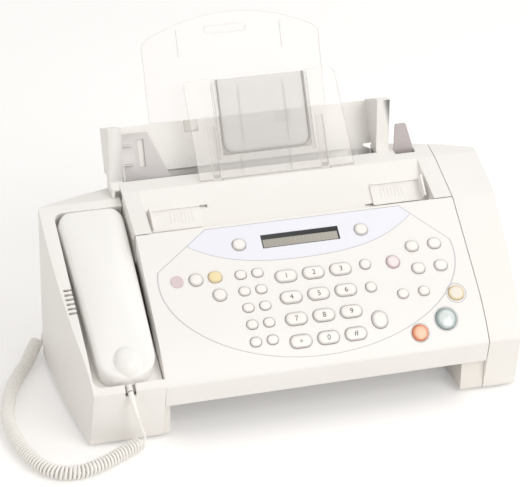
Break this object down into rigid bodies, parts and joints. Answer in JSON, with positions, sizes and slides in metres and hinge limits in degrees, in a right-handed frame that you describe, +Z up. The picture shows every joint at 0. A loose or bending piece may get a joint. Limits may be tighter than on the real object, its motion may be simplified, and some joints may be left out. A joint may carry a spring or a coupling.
{
  "type": "fax machine",
  "caption": "Desktop fax machine with a corded handset in a sloping cradle, a hinged key panel, a document feeder and tray, an ink-jet print engine and a rear sheet feeder.",
  "frame": {"origin": "middle of the footprint on the table, without the cord that lies beside the body", "axes": "+Z up, -Y towards the user, +X to the right as seen from the keys, along the body's width"},
  "size_m": [0.4319, 0.2691, 0.2637],
  "materials": {
    "shell": "fine texture",
    "rubber": "matt",
    "steel": "brushed",
    "gear_plastic": "satin",
    "dark_plastic": "satin",
    "grey_plastic": "satin",
    "tray_plastic": "translucent",
    "clear_plastic": "clear",
    "brass": "plain",
    "board": "lacquered",
    "handset_plastic": "satin",
    "cord_plastic": "satin",
    "plug_plastic": "clear",
    "panel_plastic": "fine texture",
    "display_glass": "gloss",
    "key_cream": "satin",
    "key_start": "satin",
    "key_stop": "satin",
    "key_mode": "satin",
    "key_yellow": "satin"
  },
  "bodies": {
    "body": {"base_pan": "shell", "rubber_feet": "rubber", "left_cover": "shell", "right_cover": "shell", "deck_cover": "shell", "print_chassis": "steel", "document_chute": "gear_plastic", "image_sensor": "dark_plastic", "drive_motors": "steel", "drive_belt": "rubber", "main_board": "board", "power_supply": "board", "speaker": "dark_plastic", "rear_sockets": "dark_plastic", "handset_cord": "cord_plastic", "cord_leads": "cord_plastic", "cord_plug": "plug_plastic"},
    "panel": {"panel_cover": "panel_plastic", "panel_base": "panel_plastic", "display_module": "display_glass", "key_board": "board"},
    "number_key_1": {"number_key_1": "key_cream"},
    "number_key_2": {"number_key_2": "key_cream"},
    "number_key_3": {"number_key_3": "key_cream"},
    "number_key_4": {"number_key_4": "key_cream"},
    "number_key_5": {"number_key_5": "key_cream"},
    "number_key_6": {"number_key_6": "key_cream"},
    "number_key_7": {"number_key_7": "key_cream"},
    "number_key_8": {"number_key_8": "key_cream"},
    "number_key_9": {"number_key_9": "key_cream"},
    "number_key_star": {"number_key_star": "key_cream"},
    "number_key_0": {"number_key_0": "key_cream"},
    "number_key_hash": {"number_key_hash": "key_cream"},
    "start_key": {"start_key": "key_start"},
    "stop_key": {"stop_key": "key_stop"},
    "mode_key": {"mode_key": "key_mode"},
    "menu_keys": {"menu_keys": "key_cream"},
    "one_touch_keys": {"one_touch_keys": "key_cream"},
    "function_keys": {"function_keys": "key_yellow"},
    "dialling_keys": {"dialling_keys": "key_cream"},
    "handset": {"handset_back": "handset_plastic", "handset_face": "handset_plastic"},
    "hook": {"hook_switch": "gear_plastic"},
    "guide_left": {"document_guide_left": "grey_plastic"},
    "guide_right": {"document_guide_right": "grey_plastic"},
    "pinion": {"guide_pinion": "gear_plastic"},
    "tray": {"document_tray": "tray_plastic"},
    "extension": {"tray_extension": "tray_plastic"},
    "support": {"paper_support": "clear_plastic"},
    "edge_stop": {"edge_guide": "grey_plastic"},
    "lever": {"release_lever": "grey_plastic"},
    "lift_plate": {"lift_plate": "steel"},
    "pick_roller": {"pick_roller": "rubber"},
    "feed_roller": {"feed_roller": "rubber"},
    "idler_gear": {"idler_gear": "gear_plastic"},
    "exit_roller": {"exit_roller": "rubber"},
    "motor_gear": {"motor_gear": "brass"},
    "document_roller": {"document_roller": "rubber"},
    "carriage": {"print_carriage": "dark_plastic", "ink_cartridge": "dark_plastic"}
  },
  "joints": [
    {"name": "panel_hinge", "type": "hinge", "parent": "body", "child": "panel", "pos_m": [0, -0.01878, 0.12187], "axis": [-1, 0, 0], "range_deg": [0, 50]},
    {"name": "number_key_1_slide", "type": "slide", "parent": "panel", "child": "number_key_1", "axis": [0, 0.5878, -0.809], "range_m": [0, 0.0012], "stiffness_N_per_m": 400, "springref_m": -0.0005},
    {"name": "number_key_2_slide", "type": "slide", "parent": "panel", "child": "number_key_2", "axis": [0, 0.5878, -0.809], "range_m": [0, 0.0012], "stiffness_N_per_m": 400, "springref_m": -0.0005},
    {"name": "number_key_3_slide", "type": "slide", "parent": "panel", "child": "number_key_3", "axis": [0, 0.5878, -0.809], "range_m": [0, 0.0012], "stiffness_N_per_m": 400, "springref_m": -0.0005},
    {"name": "number_key_4_slide", "type": "slide", "parent": "panel", "child": "number_key_4", "axis": [0, 0.5878, -0.809], "range_m": [0, 0.0012], "stiffness_N_per_m": 400, "springref_m": -0.0005},
    {"name": "number_key_5_slide", "type": "slide", "parent": "panel", "child": "number_key_5", "axis": [0, 0.5878, -0.809], "range_m": [0, 0.0012], "stiffness_N_per_m": 400, "springref_m": -0.0005},
    {"name": "number_key_6_slide", "type": "slide", "parent": "panel", "child": "number_key_6", "axis": [0, 0.5878, -0.809], "range_m": [0, 0.0012], "stiffness_N_per_m": 400, "springref_m": -0.0005},
    {"name": "number_key_7_slide", "type": "slide", "parent": "panel", "child": "number_key_7", "axis": [0, 0.6385, -0.7696], "range_m": [0, 0.0012], "stiffness_N_per_m": 400, "springref_m": -0.0005},
    {"name": "number_key_8_slide", "type": "slide", "parent": "panel", "child": "number_key_8", "axis": [0, 0.6385, -0.7696], "range_m": [0, 0.0012], "stiffness_N_per_m": 400, "springref_m": -0.0005},
    {"name": "number_key_9_slide", "type": "slide", "parent": "panel", "child": "number_key_9", "axis": [0, 0.6385, -0.7696], "range_m": [0, 0.0012], "stiffness_N_per_m": 400, "springref_m": -0.0005},
    {"name": "number_key_star_slide", "type": "slide", "parent": "panel", "child": "number_key_star", "axis": [0, 0.7313, -0.6821], "range_m": [0, 0.0012], "stiffness_N_per_m": 400, "springref_m": -0.0005},
    {"name": "number_key_0_slide", "type": "slide", "parent": "panel", "child": "number_key_0", "axis": [0, 0.7313, -0.6821], "range_m": [0, 0.0012], "stiffness_N_per_m": 400, "springref_m": -0.0005},
    {"name": "number_key_hash_slide", "type": "slide", "parent": "panel", "child": "number_key_hash", "axis": [0, 0.7313, -0.6821], "range_m": [0, 0.0012], "stiffness_N_per_m": 400, "springref_m": -0.0005},
    {"name": "start_key_slide", "type": "slide", "parent": "panel", "child": "start_key", "axis": [0, 0.7225, -0.6914], "range_m": [0, 0.0012], "stiffness_N_per_m": 400, "springref_m": -0.0005},
    {"name": "stop_key_slide", "type": "slide", "parent": "panel", "child": "stop_key", "axis": [0, 0.761, -0.6488], "range_m": [0, 0.0012], "stiffness_N_per_m": 400, "springref_m": -0.0005},
    {"name": "mode_key_slide", "type": "slide", "parent": "panel", "child": "mode_key", "axis": [0, 0.6201, -0.7845], "range_m": [0, 0.0012], "stiffness_N_per_m": 400, "springref_m": -0.0005},
    {"name": "menu_keys_slide", "type": "slide", "parent": "panel", "child": "menu_keys", "axis": [0, 0.5878, -0.809], "range_m": [0, 0.0012], "stiffness_N_per_m": 400, "springref_m": -0.0005},
    {"name": "one_touch_keys_slide", "type": "slide", "parent": "panel", "child": "one_touch_keys", "axis": [0, 0.5987, -0.801], "range_m": [0, 0.0012], "stiffness_N_per_m": 400, "springref_m": -0.0005},
    {"name": "function_keys_slide", "type": "slide", "parent": "panel", "child": "function_keys", "axis": [0, 0.5878, -0.809], "range_m": [0, 0.0012], "stiffness_N_per_m": 400, "springref_m": -0.0005},
    {"name": "dialling_keys_slide", "type": "slide", "parent": "panel", "child": "dialling_keys", "axis": [0, 0.5878, -0.809], "range_m": [0, 0.0012], "stiffness_N_per_m": 400, "springref_m": -0.0005},
    {"name": "handset_slide", "type": "slide", "parent": "body", "child": "handset", "axis": [0, -0.4462, 0.8949], "range_m": [0, 0.08]},
    {"name": "hook_slide", "type": "slide", "parent": "body", "child": "hook", "axis": [0, -0.4462, 0.8949], "range_m": [0, 0.004]},
    {"name": "guide_left_slide", "type": "slide", "parent": "body", "child": "guide_left", "axis": [1, 0, 0], "range_m": [0, 0.042]},
    {"name": "guide_right_slide", "type": "slide", "parent": "body", "child": "guide_right", "axis": [-1, 0, 0], "range_m": [0, 0.042]},
    {"name": "pinion_hinge", "type": "hinge", "parent": "body", "child": "pinion", "pos_m": [0.0147, 0.01395, 0.12752], "axis": [0, 0.6654, -0.7465], "range_deg": [0, 401.2]},
    {"name": "tray_slide", "type": "slide", "parent": "body", "child": "tray", "axis": [0, 0.5, 0.866], "range_m": [0, 0.03]},
    {"name": "extension_slide", "type": "slide", "parent": "tray", "child": "extension", "axis": [0, 0.5, 0.866], "range_m": [0, 0.055]},
    {"name": "support_slide", "type": "slide", "parent": "body", "child": "support", "axis": [0, 0.4226, 0.9063], "range_m": [0, 0.03]},
    {"name": "edge_stop_slide", "type": "slide", "parent": "body", "child": "edge_stop", "axis": [1, 0, 0], "range_m": [0, 0.08]},
    {"name": "lever_hinge", "type": "hinge", "parent": "body", "child": "lever", "pos_m": [0.1285, 0.047, 0.143], "axis": [1, 0, 0], "range_deg": [0, 20]},
    {"name": "lift_plate_hinge", "type": "hinge", "parent": "body", "child": "lift_plate", "pos_m": [-0.003, 0.06176, 0.14138], "axis": [-1, 0, 0], "range_deg": [0, 2.5], "stiffness_Nm_per_rad": 2},
    {"name": "pick_roller_spin", "type": "hinge", "parent": "body", "child": "pick_roller", "pos_m": [0, 0.02156, 0.09434], "axis": [1, 0, 0], "continuous": true},
    {"name": "feed_roller_spin", "type": "hinge", "parent": "body", "child": "feed_roller", "pos_m": [0, 0.012, 0.042], "axis": [1, 0, 0], "continuous": true},
    {"name": "idler_gear_spin", "type": "hinge", "parent": "body", "child": "idler_gear", "pos_m": [0.144, -0.02315, 0.042], "axis": [1, 0, 0], "continuous": true},
    {"name": "exit_roller_spin", "type": "hinge", "parent": "body", "child": "exit_roller", "pos_m": [0, -0.0523, 0.042], "axis": [1, 0, 0], "continuous": true},
    {"name": "motor_gear_spin", "type": "hinge", "parent": "body", "child": "motor_gear", "pos_m": [0.144, 0.02908, 0.02492], "axis": [1, 0, 0], "continuous": true},
    {"name": "document_roller_spin", "type": "hinge", "parent": "body", "child": "document_roller", "pos_m": [0, -0.04759, 0.07452], "axis": [1, 0, 0], "continuous": true},
    {"name": "carriage_slide", "type": "slide", "parent": "body", "child": "carriage", "axis": [-1, 0, 0], "range_m": [0, 0.172]}
  ],
  "couplings": [
    {"joint": "guide_right_slide", "follows": "guide_left_slide", "ratio": 1},
    {"joint": "pinion_hinge", "follows": "guide_left_slide", "rad_per_m": 166.67},
    {"joint": "hook_slide", "follows": "handset_slide", "ratio": 0.05},
    {"joint": "idler_gear_spin", "follows": "feed_roller_spin", "ratio": -1.0588},
    {"joint": "exit_roller_spin", "follows": "feed_roller_spin", "ratio": 1.5},
    {"joint": "motor_gear_spin", "follows": "feed_roller_spin", "ratio": -3}
  ]
}
